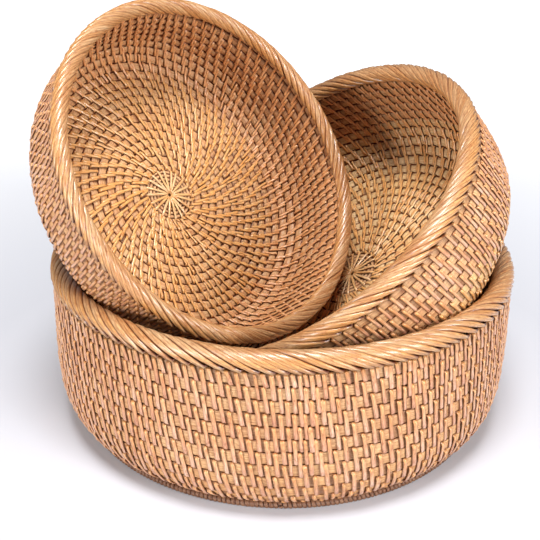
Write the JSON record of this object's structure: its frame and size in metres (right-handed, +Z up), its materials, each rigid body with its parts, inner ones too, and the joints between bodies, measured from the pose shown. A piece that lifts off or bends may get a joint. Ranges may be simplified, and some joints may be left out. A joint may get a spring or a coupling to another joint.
{
  "type": "wicker fruit basket set",
  "caption": "Set of round coiled wicker fruit baskets: a large one stands on its foot ring, with a medium and a small one leaning in its mouth.",
  "frame": {"origin": "on the large basket's axis, on the surface that it stands on", "axes": "+Z up along the large basket's axis; -Y towards the viewer, with the small basket leaning towards -X and the medium one towards +X"},
  "size_m": [0.256, 0.256, 0.2228],
  "materials": {
    "cane": "split rattan, satin, honey brown",
    "lashing": "fine cane strands, satin, pale honey",
    "hoop": "whole rattan, matt"
  },
  "bodies": {
    "large_basket": {"large_floor": "cane", "large_wall": "cane", "large_start_rosette": "cane", "large_rim_hoop": "hoop", "large_rim_lashing": "lashing", "large_foot_hoop": "hoop", "large_foot_lashing": "lashing"},
    "medium_basket": {"medium_floor": "cane", "medium_wall": "cane", "medium_start_rosette": "cane", "medium_rim_hoop": "hoop", "medium_rim_lashing": "lashing", "medium_foot_hoop": "hoop", "medium_foot_lashing": "lashing"},
    "small_basket": {"small_floor": "cane", "small_wall": "cane", "small_start_rosette": "cane", "small_rim_hoop": "hoop", "small_rim_lashing": "lashing", "small_foot_hoop": "hoop", "small_foot_lashing": "lashing"}
  },
  "joints": [
    {"name": "medium_lift", "type": "slide", "parent": "large_basket", "child": "medium_basket", "axis": [0, 0, 1], "range_m": [0, 0.12]},
    {"name": "small_lift", "type": "slide", "parent": "medium_basket", "child": "small_basket", "axis": [0, 0, 1], "range_m": [0, 0.15]}
  ]
}
